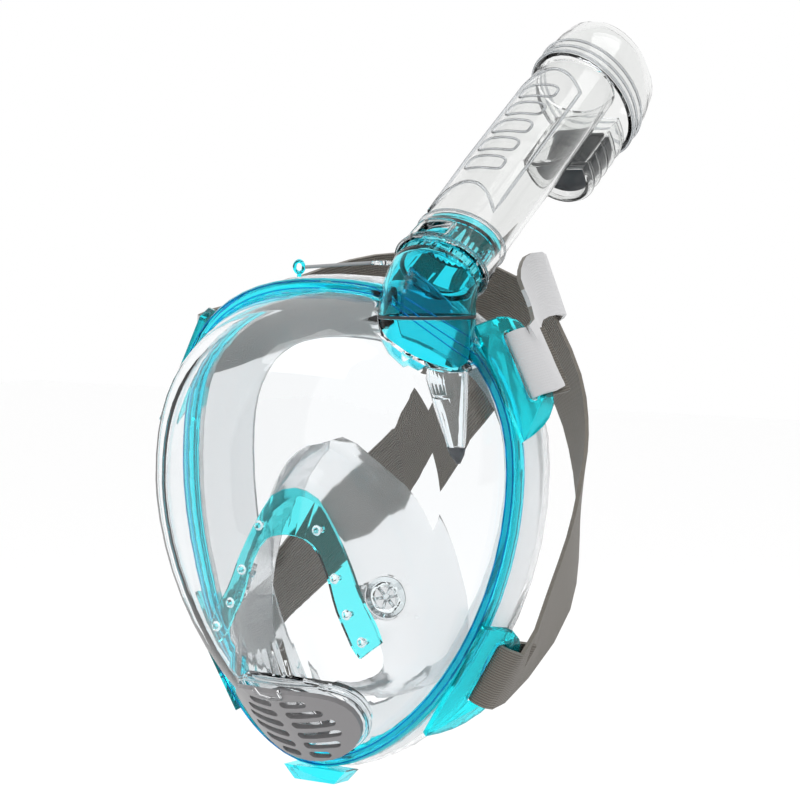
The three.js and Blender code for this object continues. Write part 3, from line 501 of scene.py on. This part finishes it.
window_edge = []
for step in range(48):
    angle = step / 24 * math.pi
    across = 9.2 * signed_power(math.cos(angle), 0.3)
    window_edge.append(collar_front(across, 7 + 5.2 * signed_power(math.sin(angle), 0.3)))
bead_piece("window_edge", [window_edge], 0.0009, tube_clear, "snorkel")


def housing_arc(up):
    arc = []
    for step in range(33):
        angle = step / 32 * math.pi
        depth = 22.2 * math.sin(angle) ** 0.8
        arc.append(on_snorkel(17.7 * math.cos(angle), 17.1 + depth, up))
    return arc


arcs = [housing_arc(up) for up in HOUSING_RING_HEIGHTS]
bead_piece("housing_rings", arcs, 0.0007, tube_clear, "snorkel", closed=False)

# ---- Latch button and float -------------------------------------------------
# The button is moulded in the collar's tinted plastic and springs out through
# its window. The float is a dark moulded block that shuts the mouth under water.
latch_aqua = clear_plastic("latch_clear", (0.3, 0.9, 0.97), 0.03, 1.15)
smooth_copy("latch_button", latch_aqua)
float_grey = mottle(solid_finish("float_grey", (0.035, 0.04, 0.045), 0.4), 500, 0.2, 0.0002)
smooth_copy("dry_top_float", float_grey)

# ---- Strap lugs -------------------------------------------------------------
# Plates of tinted plastic clipped to the frame's edge, each with a long slot.
lug_aqua = clear_plastic("lug_aqua", (0.02, 0.88, 0.96), 0.05, 1.25, 0.92)
for side in ("left", "right"):
    for level in ("upper", "lower"):
        smooth_copy(level + "_lug_" + side, lug_aqua, 30)


# ---- Straps -----------------------------------------------------------------
# Woven elastic, ribbed along its length, with a brushed pale outer side from the
# upper lug to the crossing. Each runs from an upper lug to the opposite lower
# one, and turns back on itself through the lugs' slots.
def webbing(name, colour, rib_depth):
    made = solid_finish(name, colour, 0.85)
    net = made.node_tree
    shader = net.nodes["Principled BSDF"]
    shader.inputs["Sheen Weight"].default_value = 0.25
    along = net.nodes.new("ShaderNodeUVMap")
    along.uv_map = "weave"
    ribs = net.nodes.new("ShaderNodeTexWave")
    ribs.bands_direction = "X"
    ribs.inputs["Scale"].default_value = 8
    ribs.inputs["Distortion"].default_value = 0.3
    picks = net.nodes.new("ShaderNodeTexWave")
    picks.bands_direction = "Y"
    picks.inputs["Scale"].default_value = 13
    picks.inputs["Distortion"].default_value = 1.5
    both = net.nodes.new("ShaderNodeMath")
    both.operation = "MULTIPLY_ADD"
    both.inputs[1].default_value = 0.3
    relief = net.nodes.new("ShaderNodeBump")
    relief.inputs["Strength"].default_value = rib_depth
    relief.inputs["Distance"].default_value = 0.0005
    # The ribbed side's colour follows the weave's relief, darker in the grooves and paler on the
    # crests: painted shade in the grooves and painted highlight on the crests.
    shade = net.nodes.new("ShaderNodeValToRGB")
    shade.color_ramp.elements[0].color = (*[c * 0.55 for c in colour], 1)
    shade.color_ramp.elements[1].color = (*[c * 1.25 for c in colour], 1)
    for wave in (ribs, picks):
        net.links.new(along.outputs["UV"], wave.inputs["Vector"])
    net.links.new(picks.outputs["Fac"], both.inputs[0])
    net.links.new(ribs.outputs["Fac"], both.inputs[2])
    net.links.new(both.outputs["Value"], relief.inputs["Height"])
    net.links.new(relief.outputs["Normal"], shader.inputs["Normal"])
    # Only the ribbed side gets this painted groove shade and crest highlight.
    if rib_depth > 0.3:
        net.links.new(both.outputs["Value"], shade.inputs["Fac"])
        net.links.new(shade.outputs["Color"], shader.inputs["Base Color"])
    return made


brushed_side = webbing("webbing_brushed", (0.52, 0.52, 0.53), 0.15)
ribbed_side = webbing("webbing_ribbed", (0.125, 0.112, 0.094), 0.7)


def apart(section, other):
    return sum((v.co - w.co).length for v, w in zip(section, other))


def band_sections(node):
    """The node's cross-sections in order, each [outer, outer, inner, inner] corners."""
    work = bmesh.new()
    work.from_mesh(nodes[node].data)
    bmesh.ops.remove_doubles(work, verts=work.verts, dist=JOIN_WITHIN)
    hub = next(v for v in work.verts if len(v.link_edges) == 4)
    seen = {hub}
    layer = [hub]
    rings = []
    while layer:
        layer = list({e.other_vert(v) for v in layer for e in v.link_edges} - seen)
        seen.update(layer)
        if len(layer) == 4:
            rings.append(sorted(layer, key=lambda v: v.index))
    start, *others = rings[0]
    others.sort(key=lambda v: (v.co - start.co).length)
    thick, *wide = others
    wide.sort(key=lambda v: (v.co - thick.co).length)
    ordered = [(start, wide[1], wide[0], thick)]
    for ring in rings[1:]:
        last = ordered[-1]
        near = [{e.other_vert(v) for e in v.link_edges} for v in last]
        fits = [c for c in itertools.permutations(ring) if all(v in n for v, n in zip(c, near))]
        ordered.append(min(fits, key=lambda c: apart(c, last)))
    corners = [[v.co.copy() for v in section] for section in ordered]
    work.free()
    if sum(c.z for c in corners[0]) < sum(c.z for c in corners[-1]):
        corners.reverse()
    middle = corners[len(corners) // 2]
    head = Vector((0, 0.045, 0))
    if (middle[0] - head).length < (middle[3] - head).length:
        corners = [[d, c, b, a] for a, b, c, d in corners]
    return corners


COLUMNS = 12
FOLD_END = 0.012
BRUSHED_UNTIL = 0.2
WEAVE_LENGTH = 0.03


def finish_strap(node):
    sections = band_sections(node)
    mesh = bmesh.new()
    weave = mesh.loops.layers.uv.new("weave")
    rows = []
    distance = 0
    previous = None
    for a, b, c, d in sections:
        centre = (a + b + c + d) / 4
        if previous is not None:
            distance += (centre - previous).length
        previous = centre
        row = []
        for k in range(COLUMNS + 1):
            row.append((a.lerp(b, k / COLUMNS), k / COLUMNS))
        for k in range(COLUMNS + 1):
            row.append((c.lerp(d, k / COLUMNS), 1 - k / COLUMNS))
        rows.append([(mesh.verts.new(p), u, distance) for p, u in row])
    count = len(rows[0])
    strips = []
    for low, high in zip(rows, rows[1:]):
        for k in range(count):
            corners = [low[k], low[(k + 1) % count], high[(k + 1) % count], high[k]]
            face = mesh.faces.new([v for v, _, _ in corners])
            face.smooth = True
            strips.append((face, low[0][2]))
            for loop, (_, u, length) in zip(face.loops, corners):
                loop[weave].uv = (u, length / WEAVE_LENGTH)
    for row in (rows[0], rows[-1]):
        mesh.faces.new([v for v, _, _ in row])
    bmesh.ops.recalc_face_normals(mesh, faces=mesh.faces)
    mesh.normal_update()
    for face, reached in strips:
        middle = face.calc_center_median()
        outward = face.normal.dot(Vector((middle.x, middle.y - 0.045, 0))) > 0
        face.material_index = 0 if outward and FOLD_END < reached < BRUSHED_UNTIL else 1
    data = bpy.data.meshes.new(node + "_webbing")
    mesh.to_mesh(data)
    mesh.free()
    data.materials.append(brushed_side)
    data.materials.append(ribbed_side)
    piece = bpy.data.objects.new(node + "_webbing", data)
    bpy.context.collection.objects.link(piece)
    select_only(piece)
    bpy.ops.object.shade_smooth_by_angle(angle=math.radians(50))
    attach(piece, "mask")
    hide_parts(node)


finish_strap("strap_left")
finish_strap("strap_right")
